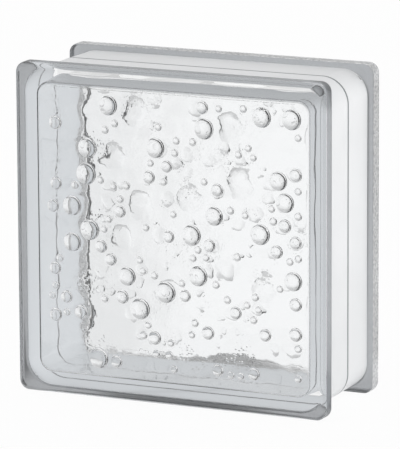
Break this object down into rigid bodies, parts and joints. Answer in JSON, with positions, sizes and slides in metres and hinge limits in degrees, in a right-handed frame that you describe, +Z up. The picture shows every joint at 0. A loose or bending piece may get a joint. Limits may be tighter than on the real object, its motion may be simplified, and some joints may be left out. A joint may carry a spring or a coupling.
{
  "type": "glass block",
  "caption": "Square hollow glass building block: two pressed half shells fused at a seam, clear panes with raised bubbles inside, and a mortar channel round the edge.",
  "frame": {"origin": "middle of the underside, between the two lips the block stands on", "axes": "+Z up, -Y out of the front face, +X to the right seen from the front"},
  "size_m": [0.19, 0.08, 0.19],
  "materials": {
    "glass": "clear pressed glass, fire polished, with a slightly matt rim on each lip"
  },
  "bodies": {
    "root": {"front_half": "glass", "back_half": "glass"}
  },
  "joints": []
}
